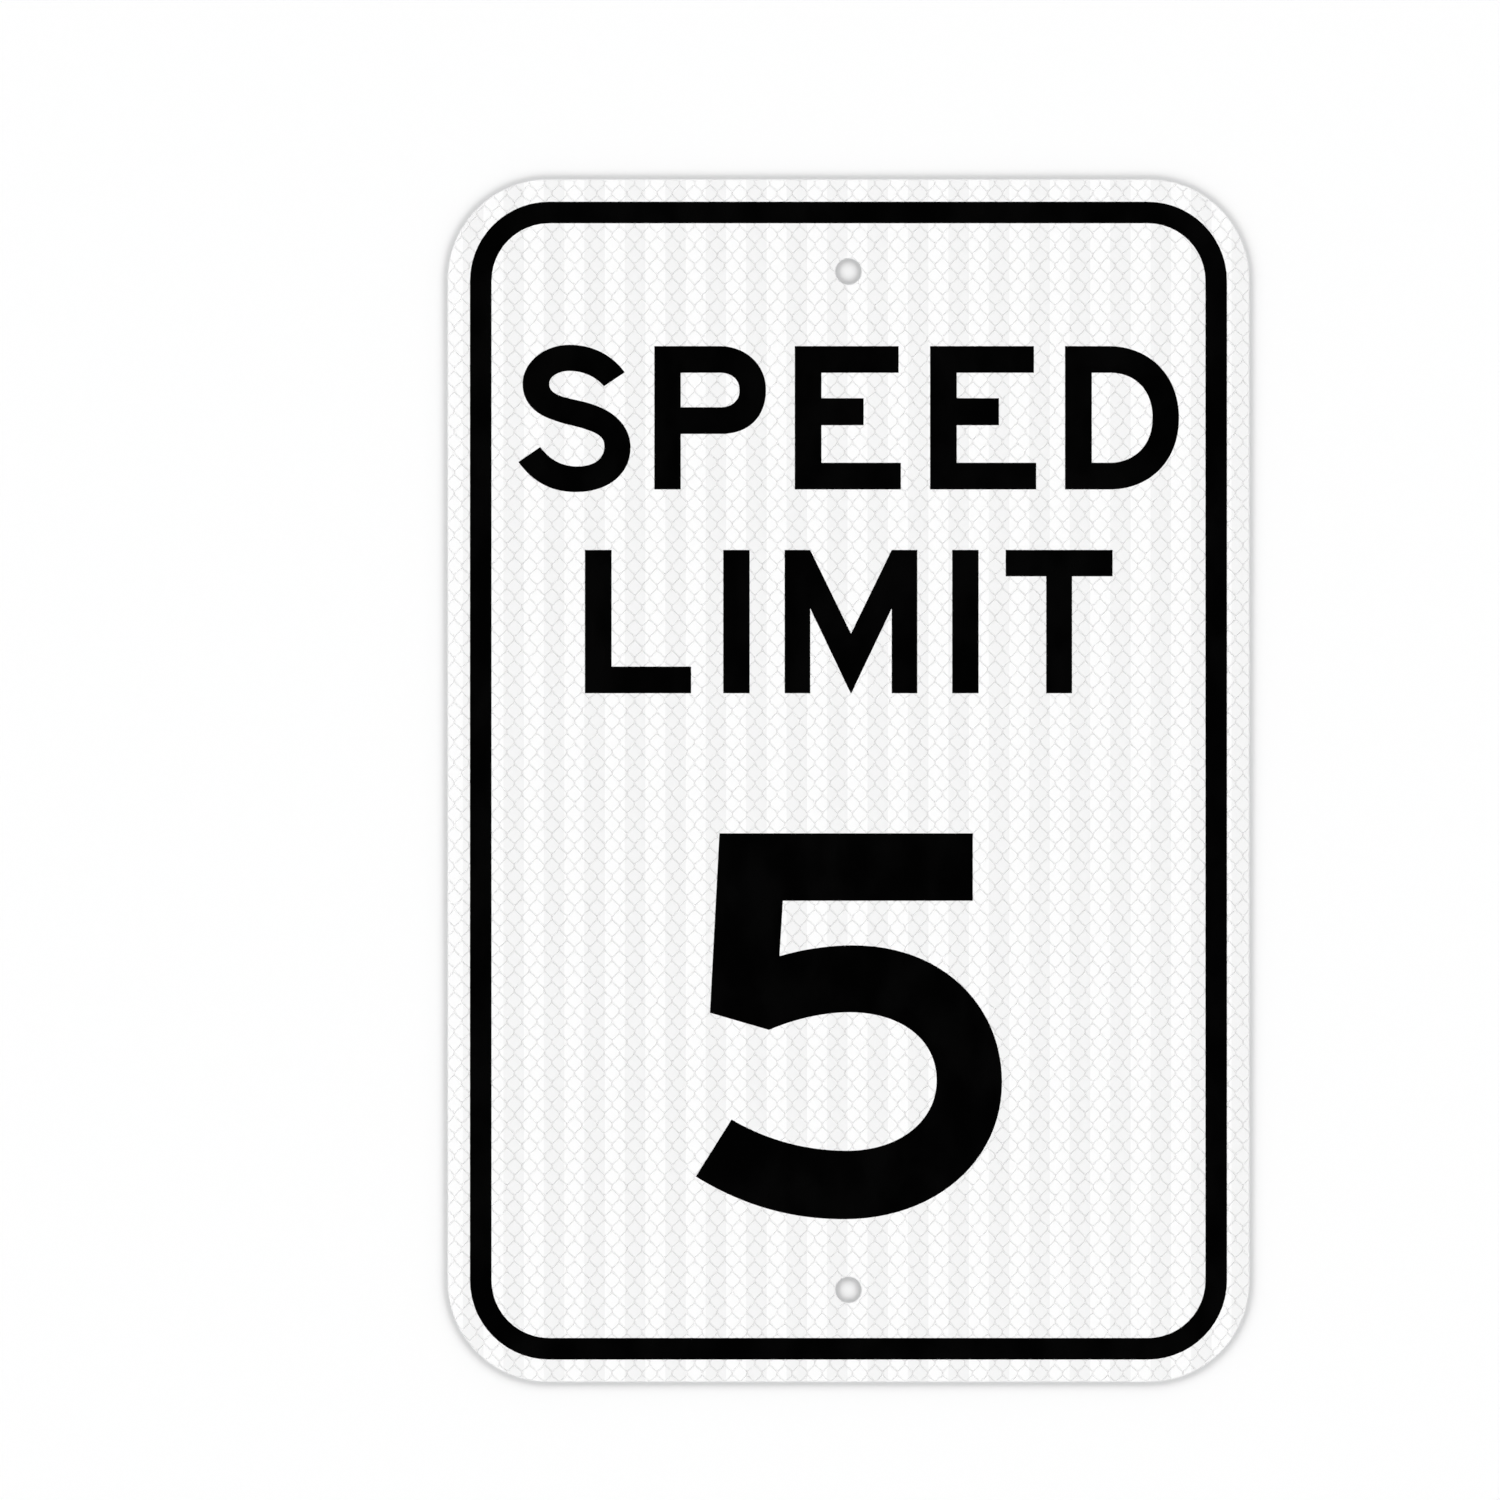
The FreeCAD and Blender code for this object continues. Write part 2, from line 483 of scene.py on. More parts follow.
class Pen:
    """Draws one closed contour in the plane of the sign, in millimetres, x across and z up."""

    steps: int = 24

    def __init__(self, *points: Point) -> None:
        """Start at a point, and go straight to any that follow."""
        self.spans = [np.array(points, float)]

    def line(self, *points: Point) -> "Pen":
        """Go straight from point to point."""
        self.spans.append(np.array(points, float))
        return self

    def curve(self, first: Point, second: Point, end: Point) -> "Pen":
        """Go to a point by a cubic Bezier curve.

        With t from zero to one and u = 1 - t, it is u^3 times the start, 3 u^2 t times the first
        handle, 3 u t^2 times the second handle and t^3 times the end.

        Args:
            first: the handle beside the start.
            second: the handle beside the end.
            end: the point where it ends.

        Returns:
            This pen.
        """
        t = np.linspace(0.0, 1.0, self.steps + 1)[1:]
        u = 1 - t
        shares = np.stack((u ** 3, 3 * u ** 2 * t, 3 * u * t ** 2, t ** 3), axis=1)
        self.spans.append(shares @ np.array([self.spans[-1][-1], first, second, end]))
        return self

    def close(self) -> Contour:
        """Finish the contour, whose last point joins its first, and give its points."""
        return np.concatenate(self.spans)


def rounded_rectangle(width: float, height: float, radius: float, steps: int) -> Contour:
    """Draw a rounded rectangle round the origin, anticlockwise from the lower right.

    A corner's points lie r sin(t) across and -r cos(t) up from the corner's own centre, with t
    going on by a quarter turn at each of the four.

    Args:
        width: the size across, in millimetres.
        height: the size up.
        radius: the radius of the four corners.
        steps: the number of straight steps in each corner.

    Returns:
        Its points.
    """
    sides = np.array([(1, -1), (1, 1), (-1, 1), (-1, -1)])
    centres = sides * (np.array([width, height]) / 2 - radius)
    angle = np.linspace(0.0, math.pi / 2, steps + 1) + np.arange(4)[:, None] * math.pi / 2
    arcs = radius * np.stack((np.sin(angle), -np.cos(angle)), axis=-1)
    return (centres[:, None, :] + arcs).reshape(-1, 2)


def circle(z: float, radius: float, points: int) -> Contour:
    """Draw a circle: r cos(t) across and z + r sin(t) up, for t round a full turn."""
    angle = np.linspace(0.0, math.tau, points, endpoint=False)
    return np.stack((radius * np.cos(angle), z + radius * np.sin(angle)), axis=1)


def add_piece(name: str, points: np.ndarray, loops: np.ndarray, sizes: np.ndarray,
              smooth: np.ndarray, finish: Finish) -> Object:
    """Make a piece of the sign from arrays, and let it ride on the sign's body.

    Args:
        name: the piece's name.
        points: the vertices in millimetres, one row each.
        loops: the vertex numbers of all faces, one after another.
        sizes: how many corners each face has.
        smooth: which faces are shaded as one rounded surface.
        finish: the piece's finish.

    Returns:
        The new object, at the origin with its place in its mesh.
    """
    mesh = bpy.data.meshes.new(name)
    mesh.vertices.add(len(points))
    mesh.vertices.foreach_set("co", (points * MM).astype(np.float32).ravel())
    mesh.loops.add(len(loops))
    mesh.loops.foreach_set("vertex_index", loops.astype(np.int32))
    mesh.polygons.add(len(sizes))
    starts = np.concatenate(([0], np.cumsum(sizes)[:-1]))
    mesh.polygons.foreach_set("loop_start", starts.astype(np.int32))
    mesh.polygons.foreach_set("use_smooth", smooth)
    mesh.update(calc_edges=True)
    mesh.validate()
    mesh.materials.append(finish.material)
    piece = bpy.data.objects.new(name, mesh)
    bpy.context.scene.collection.objects.link(piece)
    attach(piece, "root")
    LOG.info("%s: %d triangles", name, int(np.sum(sizes - 2)))
    return piece


def set_attribute(piece: Object, mark: Mark, values: np.ndarray) -> None:
    """Store one number for each vertex of a piece, for its material to read."""
    attribute = piece.data.attributes.new(mark.value, "FLOAT", "POINT")
    attribute.data.foreach_set("value", values.astype(np.float32))


def dress_node(node: Node, finish: Finish) -> None:
    """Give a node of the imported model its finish.

    Args:
        node: the node.
        finish: its finish.
    """
    part = frame["nodes"][node.value]
    part.data.materials.clear()
    part.data.materials.append(finish.material)
    LOG.info("%s: dressed", part.name)


def fill_contours(contours: list[Contour]) -> np.ndarray:
    """Fill an outline, less the holes in it, with triangles that use its own points.

    The triangles are a Delaunay net that keeps every edge of the contours. One is kept where a
    ray from its middle along +x crosses the contours an odd number of times.

    Args:
        contours: the outline and then its holes.

    Returns:
        Three point numbers for each triangle, anticlockwise as the viewer sees them.
    """
    flat = np.concatenate(contours)
    firsts = np.concatenate(([0], np.cumsum([len(contour) for contour in contours])[:-1]))
    ahead = np.concatenate([
        first + np.roll(np.arange(len(contour)), -1) for first, contour in zip(firsts, contours)])
    edges = np.stack((np.arange(len(flat)), ahead), axis=1)
    fill = np.array(geometry.delaunay_2d_cdt(flat, edges, [], 0, SAME_PLACE)[2])
    middles = flat[fill].mean(axis=1)
    starts, ends = flat[None], flat[ahead][None]
    x, z = middles[:, None, 0], middles[:, None, 1]
    spans = (starts[..., 1] > z) != (ends[..., 1] > z)
    drop = np.where(spans, ends[..., 1] - starts[..., 1], 1.0)
    across = starts[..., 0] + (z - starts[..., 1]) * (ends[..., 0] - starts[..., 0]) / drop
    return fill[(spans & (across > x)).sum(axis=1) % 2 == 1]


def add_slab(name: str, contours: list[Contour], back: float, front: float,
             finish: Finish) -> Object:
    """Make a closed flat solid from an outline and the holes in it.

    The filled outline stands at y = front, facing the viewer, and turned round at y = back. Each
    edge that only one of its triangles has carries a wall from front to back.

    Args:
        name: the piece's name.
        contours: the outline and then its holes, in millimetres.
        back: the back plane's y, in millimetres.
        front: the front plane's y.
        finish: the piece's finish.

    Returns:
        The new object.
    """
    flat = np.concatenate(contours)
    count = len(flat)
    fill = fill_contours(contours)
    edges = np.concatenate((fill[:, (0, 1)], fill[:, (1, 2)], fill[:, (2, 0)]))
    keys = edges[:, 0] * count + edges[:, 1]
    rim = edges[~np.isin(edges[:, 1] * count + edges[:, 0], keys)]
    walls = np.stack((rim[:, 1], rim[:, 0], rim[:, 0] + count, rim[:, 1] + count), axis=1)
    points = np.empty((2 * count, 3))
    points[:, (0, 2)] = np.tile(flat, (2, 1))
    points[:count, 1] = front
    points[count:, 1] = back
    loops = np.concatenate((fill.ravel(), (fill[:, ::-1] + count).ravel(), walls.ravel()))
    sizes = np.concatenate((np.full(2 * len(fill), 3), np.full(len(walls), 4)))
    return add_piece(name, points, loops, sizes, np.zeros(len(sizes), bool), finish)


@dataclass
class Panel:
    """The punched panel, whose outline and bolt holes the film shares. Sizes in millimetres."""

    corner_radius: float = 38.1
    corner_steps: int = 24
    hole_points: int = 72
    width: float = field(init=False)
    height: float = field(init=False)
    film_front: float = field(init=False)
    film_back: float = field(init=False)
    ink_front: float = field(init=False)
    hole_radius: float = field(init=False)
    hole_heights: tuple[float, ...] = field(init=False)

    def __post_init__(self) -> None:
        """Read the panel's size and its hole pattern from the frame."""
        low, high = (np.array(corner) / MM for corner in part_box(Node.SHEETING.value))
        self.width = float(high[0] - low[0])
        self.height = float(high[2] - low[2])
        self.film_front = float(low[1])
        self.film_back = float(high[1])
        self.ink_front = float(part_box(Node.BORDER.value)[0][1] / MM)
        bolts = next(m for m in frame["record"]["mounts"] if m["name"] == "post_bolts")
        self.hole_radius = float(bolts["dims"]["hole_r_mm"])
        self.hole_heights = tuple(s * bolts["dims"]["spacing_y_mm"] / 2 for s in (1, -1))

    def contours(self) -> list[Contour]:
        """Draw the panel's outline and its two holes.

        Returns:
            The outline and then the holes.
        """
        outline = rounded_rectangle(self.width, self.height, self.corner_radius, self.corner_steps)
        return [outline, *(circle(z, self.hole_radius, self.hole_points) for z in self.hole_heights)]

    def depth_inside(self, points: np.ndarray) -> np.ndarray:
        """Tell how far each point lies inside the panel's own material.

        The distance to the rounded outline is that to a smaller rectangle, less the corner
        radius. The distance to a hole is that to its centre, less the hole's radius. The smaller
        of the two counts, and it is negative outside the material.

        Args:
            points: x and z in the last dimension.

        Returns:
            The depth of each point, in millimetres.
        """
        half = np.array([self.width, self.height]) / 2 - self.corner_radius
        over = np.abs(points) - half
        outside = np.linalg.norm(np.maximum(over, 0.0), axis=-1)
        depth = self.corner_radius - outside - np.minimum(over.max(axis=-1), 0.0)
        for z in self.hole_heights:
            from_hole = np.hypot(points[..., 0], points[..., 1] - z) - self.hole_radius
            depth = np.minimum(depth, from_hole)
        return depth

    def clear_of_holes(self, points: np.ndarray, gap: float) -> np.ndarray:
        """Move points that are in a bolt hole, or too near it, straight away from its centre.

        Args:
            points: x and z in the last dimension.
            gap: how far from the hole's edge the points end at least.

        Returns:
            The points' new places.
        """
        for z in self.hole_heights:
            centre = np.array([0.0, z])
            away = points - centre
            length = np.maximum(np.linalg.norm(away, axis=-1, keepdims=True), LEAST_LENGTH)
            least = self.hole_radius + gap
            points = np.where(length < least, centre + away / length * least, points)
        return points

    def dress(self, finish: Finish) -> None:
        """Give the panel's own node its metal."""
        dress_node(Node.BLANK, finish)


@dataclass
class Sheeting:
    """The film: a flat sheet whose face is a net of seals round raised cells.

    The cells stand in level rows, each row shifted by half a pitch. Walls stand upright between
    the cells of a row and slant between the rows, so a cell is a tall hexagon with soft sides.
    Sizes are in millimetres.
    """

    panel: Panel
    pitch: float = 5.712
    row_rise: float = 3.936
    upright_wall: float = 1.25
    first_cell: Point = (1.487, -1.019)
    seal_gap: float = 0.05
    seal_slope: float = 0.34
    side_slope: float = 0.38
    foot_cut: float = 0.12
    crest_cut: float = 0.15
    relief: float = 0.05
    crown: float = 0.005
    sunk: float = 0.005
    trim: float = 0.04
    trimmed_slope: float = 0.35
    steepest_share: float = 0.5
    smallest_cell: float = 0.5
    trimmed_steps: int = 4
    middle_rings: int = 10
    search_steps: int = 16
    halvings: int = 12
    centre_tone: float = 0.12
    cell_variation: float = 0.05
    seed: int = 7

    def build(self, finish: Finish) -> None:
        """Make the film and its cells, and hide the film's node of the imported model.

        Args:
            finish: the film's finish.
        """
        film = add_slab("sheeting_film", self.panel.contours(), self.panel.film_back,
                        self.panel.film_front + self.relief, finish)
        set_attribute(film, Mark.SEAL, np.ones(len(film.data.vertices)))
        set_attribute(film, Mark.SHADE, np.zeros(len(film.data.vertices)))
        cells = [self.add_cells(row, finish) for row in Row]
        for piece in (film, *cells, self.add_trimmed_cells(finish)):
            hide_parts(Node.SHEETING.value)

    def ring(self, side_inset: float, slant_inset: float, cut: float) -> np.ndarray:
        """Draw a ring inside one cell's walls, round the cell's centre.

        The walls moved inwards meet in six corners: four at the ends of the upright walls, and
        one each at the top and the bottom. Every corner is cut off at the same distance along
        both of its walls, so the ring has twelve points.

        Args:
            side_inset: how far the ring stays from the middle of the upright walls.
            slant_inset: how far it stays from the middle of the slanted walls.
            cut: how far from each corner it is cut off.

        Returns:
            The ring's points, anticlockwise from the lower right.
        """
        half, rise = self.pitch / 2, self.row_rise - self.upright_wall
        length = math.hypot(half, rise)
        reach = (half * rise + self.upright_wall / 2 * half) / length - slant_inset
        side, top = half - side_inset, reach * length / half
        shoulder = top - side * rise / half
        corners = np.array([(side, -shoulder), (side, shoulder), (0.0, top),
                            (-side, shoulder), (-side, -shoulder), (0.0, -top)])
        back = np.roll(corners, 1, axis=0) - corners
        ahead = np.roll(corners, -1, axis=0) - corners
        cuts = [corners + cut * way / np.linalg.norm(way, axis=1)[:, None] for way in (back, ahead)]
        return np.stack(cuts, axis=1).reshape(-1, 2)

    def centres(self, row: Row) -> np.ndarray:
        """Lay out every second row of cells, past the panel's edges on all sides.

        Args:
            row: which rows.

        Returns:
            The centre of each cell.
        """
        rows = math.ceil(self.panel.height / self.row_rise / 4) + 1
        columns = math.ceil(self.panel.width / self.pitch / 2) + 1
        x = self.first_cell[0] + self.pitch * (np.arange(-columns, columns + 1) + row.value)
        z = self.first_cell[1] + 2 * self.row_rise * (np.arange(-rows, rows + 1) + row.value)
        return np.stack(np.meshgrid(x, z), axis=-1).reshape(-1, 2)

    def pull_inside(self, middles: np.ndarray, points: np.ndarray) -> np.ndarray:
        """Bring back the points that cannot be reached from their cell's middle inside the panel.

        The way from the middle to each point is tried in equal steps. Where a step leaves the
        panel, the place where it does is found by halving that step again and again.

        Args:
            middles: the middle of each cell, inside the panel.
            points: the points of each cell.

        Returns:
            The points' new places.
        """
        start, way = middles[:, None, :], points - middles[:, None, :]
        shares = np.linspace(0.0, 1.0, self.search_steps + 1)
        tried = start[:, :, None, :] + shares[:, None] * way[:, :, None, :]
        out = self.panel.depth_inside(tried) < self.trim
        stopped = out.any(axis=-1)
        first = np.where(stopped, np.maximum(out.argmax(axis=-1), 1), self.search_steps)
        near, far = shares[first - 1], shares[first]
        for _ in range(self.halvings):
            half = (near + far) / 2
            inside = self.panel.depth_inside(start + half[..., None] * way) >= self.trim
            near = np.where(inside, half, near)
            far = np.where(inside, far, half)
        return start + np.where(stopped, near, 1.0)[..., None] * way

    def add_cells(self, row: Row, finish: Finish) -> Object:
        """Make the whole cells of every second row as low cushions on the film.

        Args:
            row: which rows.
            finish: the film's finish.

        Returns:
            The new object.
        """
        foot = self.ring(self.seal_gap, self.seal_gap, self.foot_cut)
        crest = self.ring(self.seal_gap + self.side_slope, self.seal_gap + self.seal_slope,
                          self.crest_cut)
        centres = self.centres(row)
        feet = centres[:, None, :] + foot
        whole = (self.panel.depth_inside(feet) >= self.trim).all(axis=1)
        feet, centres = feet[whole], centres[whole]
        crests, uncut = centres[:, None, :] + crest, np.ones(feet.shape[:2])
        name = f"sheeting_cells_{row.name.lower()}"
        return self.join_cells(name, centres, crests, feet, uncut, finish)

    def add_trimmed_cells(self, finish: Finish) -> Object:
        """Make what is left of the cells that the panel's edge or a bolt hole cuts.

        Each has a finer ring, whose points outside the panel are brought back to the cut. Its
        middle is the mean of the points of smaller and smaller rings that lie inside, weighted
        by the rings' sizes. The crest lies on the way from each foot point to the middle.

        Args:
            finish: the film's finish.

        Returns:
            The new object.
        """
        coarse = self.ring(self.seal_gap, self.seal_gap, self.foot_cut)
        steps = np.arange(self.trimmed_steps)[:, None] / self.trimmed_steps
        ahead = np.roll(coarse, -1, axis=0)
        foot = (coarse[:, None, :] + steps * (ahead - coarse)[:, None, :]).reshape(-1, 2)
        centres = np.concatenate([self.centres(row) for row in Row])
        feet = centres[:, None, :] + foot
        inside = self.panel.depth_inside(feet) >= self.trim
        cut = inside.any(axis=1) & ~inside.all(axis=1)
        feet, centres, inside = feet[cut], centres[cut], inside[cut]
        scales = np.linspace(1 / self.middle_rings, 1.0, self.middle_rings)[:, None, None]
        samples = centres[:, None, None, :] + scales * foot
        weights = (self.panel.depth_inside(samples) >= self.trim) * scales[..., 0]
        weights = weights / weights.sum(axis=(1, 2), keepdims=True)
        middles = (samples * weights[..., None]).sum(axis=(1, 2))
        middles = self.panel.clear_of_holes(middles, 2 * self.trim)
        feet = self.pull_inside(middles, feet)
        large = self.areas(feet) >= self.smallest_cell
        feet, middles, inside = feet[large], middles[large], inside[large]
        way = feet - middles[:, None, :]
        length = np.maximum(np.linalg.norm(way, axis=-1, keepdims=True), LEAST_LENGTH)
        crests = feet - way * np.minimum(self.trimmed_slope / length, self.steepest_share)
        return self.join_cells("sheeting_cells_trimmed", middles, crests, feet, inside, finish)

    @staticmethod
    def areas(rings: np.ndarray) -> np.ndarray:
        """Work out the area inside each ring as half the sum of x1 z2 - x2 z1 round it.

        Args:
            rings: the points of each ring.

        Returns:
            The area of each ring, in square millimetres.
        """
        following = np.roll(rings, -1, axis=1)
        products = rings[..., 0] * following[..., 1] - following[..., 0] * rings[..., 1]
        return products.sum(axis=1) / 2

    def join_cells(self, name: str, middles: np.ndarray, crests: np.ndarray, feet: np.ndarray,
                   uncut: np.ndarray, finish: Finish) -> Object:
        """Join the rings of many cells into one mesh.

        A cell is a fan from its crowned middle to the crest ring, then a slope down to the foot
        ring just inside the film, closed underneath.

        Args:
            name: the piece's name.
            middles: the middle of each cell.
            crests: the crest ring of each cell.
            feet: the foot ring of each cell.
            uncut: one for each foot point on a seal, and zero for one on a cut edge.
            finish: the film's finish.

        Returns:
            The new object.
        """
        count, corners = feet.shape[:2]
        each = 1 + 2 * corners
        front = self.panel.film_front
        points = np.empty((count, each, 3))
        points[:, 0, (0, 2)] = middles
        points[:, 1:corners + 1, (0, 2)] = crests
        points[:, corners + 1:, (0, 2)] = feet
        points[:, 0, 1] = front
        points[:, 1:corners + 1, 1] = front + self.crown
        points[:, corners + 1:, 1] = front + self.relief + self.sunk
        around = np.arange(corners)
        after = np.roll(around, -1)
        fan = np.stack((np.zeros(corners, int), 1 + around, 1 + after), axis=1)
        slope = np.stack((1 + around, 1 + corners + around, 1 + corners + after, 1 + after), axis=1)
        under = 1 + corners + around[::-1]
        loops = np.concatenate((fan.ravel(), slope.ravel(), under))
        sizes = np.concatenate((np.full(corners, 3), np.full(corners, 4), [corners]))
        piece = add_piece(
            name, points.reshape(-1, 3), (loops + each * np.arange(count)[:, None]).ravel(),
            np.tile(sizes, count), np.tile(sizes < corners, count), finish)
        seal = np.zeros((count, each))
        seal[:, 0] = self.centre_tone
        seal[:, corners + 1:] = uncut
        drawn = np.random.default_rng(self.seed + count)
        shade = np.repeat(drawn.normal(0.0, self.cell_variation, count), each)
        set_attribute(piece, Mark.SEAL, seal.ravel())
        set_attribute(piece, Mark.SHADE, shade)
        return piece


@dataclass
class Alphabet:
    """The plain highway capitals and numeral of the sign, in millimetres.

    Each letter stands on z = 0 with its left side at x = 0. Its first contour is the outside.
    """

    cap: float = 54.45
    stem: float = 10.0
    bar: float = 10.1

    def contours(self, letter: str) -> list[Contour]:
        """Draw one letter by the method that is named for it.

        Args:
            letter: the capital or numeral.

        Returns:
            Its outside, and then the counter inside it, if it has one.
        """
        draw = getattr(self, f"draw_{letter.lower()}")
        return [pen.close() for pen in draw()]

    def draw_s(self) -> list[Pen]:
        """Draw S: two open bowls joined by a slanting spine, with square-cut ends.

        Returns:
            The pen that drew it.
        """
        top, bottom = self.cap + 0.5, -1.0
        inner_top, inner_bottom = top - 9.9, bottom + 9.7
        pen = Pen((40.3, 44.5))
        pen.curve((35.8, 50.8), (28.4, top), (19.3, top))
        pen.curve((9.4, top), (1.5, 48.1), (1.5, 40.1))
        pen.curve((1.5, 33.7), (5.6, 28.8), (13.1, 26.4))
        pen.curve((17.4, 24.7), (21.5, 24.2), (25.3, 22.9))
        pen.curve((30.5, 21.2), (32.6, 19.7), (32.6, 16.4))
        pen.curve((32.6, 11.5), (28.5, inner_bottom), (22.2, inner_bottom))
        pen.curve((16.1, inner_bottom), (11.5, 11.6), (8.2, 16.1))
        pen.line((-0.1, 10.4))
        pen.curve((5.2, 3.1), (12.1, bottom), (21.7, bottom))
        pen.curve((34.2, bottom), (42.5, 5.9), (42.5, 16.0))
        pen.curve((42.5, 23.0), (37.6, 28.9), (29.5, 31.8))
        pen.curve((24.5, 33.8), (19.1, 34.2), (15.5, 35.7))
        pen.curve((12.5, 36.9), (11.6, 38.4), (11.6, 40.1))
        pen.curve((11.6, 42.8), (14.8, inner_top), (19.3, inner_top))
        pen.curve((25.0, inner_top), (29.7, 42.5), (32.4, 39.2))
        return [pen]

    def draw_p(self) -> list[Pen]:
        """Draw P: a stem and a bowl, with its counter.

        Returns:
            The pens that drew its outside and its counter.
        """
        top, right, low = self.cap, 42.4, 21.1
        inner_top, inner_right, inner_low = top - self.bar, right - self.stem, low + self.bar
        outside = Pen((0.0, 0.0), (self.stem, 0.0), (self.stem, low), (25.5, low))
        outside.curve((35.7, low), (right, 27.4), (right, 37.9))
        outside.curve((right, 47.8), (34.3, top), (24.9, top)).line((0.0, top))
        counter = Pen((self.stem, inner_top), (self.stem, inner_low), (25.2, inner_low))
        counter.curve((29.1, inner_low), (inner_right, 33.5), (inner_right, 37.7))
        counter.curve((inner_right, 42.1), (29.0, inner_top), (25.1, inner_top))
        return [outside, counter]

    def draw_e(self) -> list[Pen]:
        """Draw E: a stem and three arms, the middle one short and above the middle.

        Returns:
            The pen that drew it.
        """
        low, high, foot, arm, head = 24.4, 34.65, 40.3, 26.15, 39.45
        inner_top = self.cap - self.bar
        return [Pen((0.0, 0.0), (foot, 0.0), (foot, self.bar), (self.bar, self.bar),
                    (self.bar, low), (arm, low), (arm, high), (self.bar, high),
                    (self.bar, inner_top), (head, inner_top), (head, self.cap), (0.0, self.cap))]

    def draw_d(self) -> list[Pen]:
        """Draw D: a stem and one tall bowl, with its counter.

        Returns:
            The pens that drew its outside and its counter.
        """
        top, right, middle = self.cap, 43.3, self.cap / 2
        inner_top, inner_right, stem = top - self.bar, right - self.stem, 10.15
        outside = Pen((0.0, 0.0), (17.1, 0.0))
        outside.curve((31.8, 0.0), (right, 10.3), (right, middle))
        outside.curve((right, 44.2), (31.1, top), (16.8, top)).line((0.0, top))
        counter = Pen((stem, inner_top), (stem, self.bar), (17.0, self.bar))
        counter.curve((25.9, self.bar), (inner_right, 16.3), (inner_right, middle))
        counter.curve((inner_right, 38.1), (26.4, inner_top), (17.2, inner_top))
        return [outside, counter]

    def draw_l(self) -> list[Pen]:
        """Draw L: a stem and a foot."""
        foot = 40.35
        return [Pen((0.0, 0.0), (foot, 0.0), (foot, self.bar), (self.bar, self.bar),
                    (self.bar, self.cap), (0.0, self.cap))]

    def draw_i(self) -> list[Pen]:
        """Draw I: a stem."""
        return [Pen((0.0, 0.0), (self.stem, 0.0), (self.stem, self.cap), (0.0, self.cap))]

    def draw_m(self) -> list[Pen]:
        """Draw M: two stems and a V between them that comes down to the baseline.

        Returns:
            The pen that drew it.
        """
        width, stem, notch, crotch = 50.4, 9.7, 22.6, 32.3
        middle, tip, right = width / 2, 0.1, width - stem
        return [Pen((0.0, 0.0), (stem, 0.0), (stem, crotch), (middle - tip, 0.0),
                    (middle + tip, 0.0), (right, crotch), (right, 0.0), (width, 0.0),
                    (width, self.cap), (right, self.cap), (middle, notch), (stem, self.cap),
                    (0.0, self.cap))]

    def draw_t(self) -> list[Pen]:
        """Draw T: a bar and a stem under its middle.

        Returns:
            The pen that drew it.
        """
        width, stem = 40.6, 9.8
        left, right, low = (width - stem) / 2, (width + stem) / 2, self.cap - self.stem
        return [Pen((left, 0.0), (right, 0.0), (right, low), (width, low), (width, self.cap),
                    (0.0, self.cap), (0.0, low), (left, low))]

    def draw_5(self) -> list[Pen]:
        """Draw 5: a flag, a leaning stem and a wide open bowl with square-cut ends.

        Returns:
            The pen that drew it.
        """
        top, flag_right, flag_low = 146.7, 105.3, 121.1
        right, inner_right, bowl_top, inner_top, inner_low = 116.4, 91.6, 104.1, 78.7, 26.0
        pen = Pen((9.0, top), (5.4, 78.5), (27.8, 72.0))
        pen.curve((36.5, 75.7), (47.6, inner_top), (58.6, inner_top))
        pen.curve((77.5, inner_top), (inner_right, 68.7), (inner_right, 52.8))
        pen.curve((inner_right, 36.9), (76.8, inner_low), (57.7, inner_low))
        pen.curve((42.0, inner_low), (26.8, 30.1), (13.6, 37.9))
        pen.line((0.0, 16.2))
        pen.curve((16.9, 5.8), (35.2, 0.0), (56.4, 0.0))
        pen.curve((90.7, 0.0), (right, 21.8), (right, 52.0))
        pen.curve((right, 81.6), (93.4, bowl_top), (60.0, bowl_top))
        pen.curve((49.7, bowl_top), (40.4, 102.5), (31.8, 100.0))
        return [pen.line((33.1, flag_low), (flag_right, flag_low), (flag_right, top))]


@dataclass(frozen=True)
class Line:
    """One line of lettering: its characters, the left side of each, and where they stand."""

    letters: str
    lefts: tuple[float, ...]
    baseline: float


@dataclass
class Printing:
    """The black screen print: the border of the CAD model, two words and a numeral."""

    panel: Panel
    lines: tuple[Line, ...] = (
        Line("SPEED", (-125.4, -73.8, -20.4, 31.05, 82.35), 110.75),
        Line("LIMIT", (-100.2, -47.6, -24.25, 39.45, 59.8), 33.25),
        Line("5", (-58.05,), -166.75),
    )

    def build(self, finish: Finish) -> None:
        """Print each character as a thin solid on the film, level with the border.

        Args:
            finish: the ink's finish.
        """
        alphabet = Alphabet()
        for line in self.lines:
            for place, (letter, left) in enumerate(zip(line.letters, line.lefts), start=1):
                name = f"print_{line.letters.lower()}_{place}_{letter.lower()}"
                moved = [c + np.array([left, line.baseline]) for c in alphabet.contours(letter)]
                add_slab(name, moved, self.panel.film_front, self.panel.ink_front, finish)
        dress_node(Node.BORDER, finish)


@dataclass(frozen=True)
class TentStep:
    """A soft step of the tent's strength, at an angle in degrees from the way the sign faces."""

    angle: float
    inside: float
    outside: float
    softness: float = 5.0

    def span(self) -> Span:
        """Give the Y of the ray directions between which the step starts and ends."""
        first, last = self.angle - self.softness, self.angle + self.softness
        return -math.cos(math.radians(first)), -math.cos(math.radians(last))


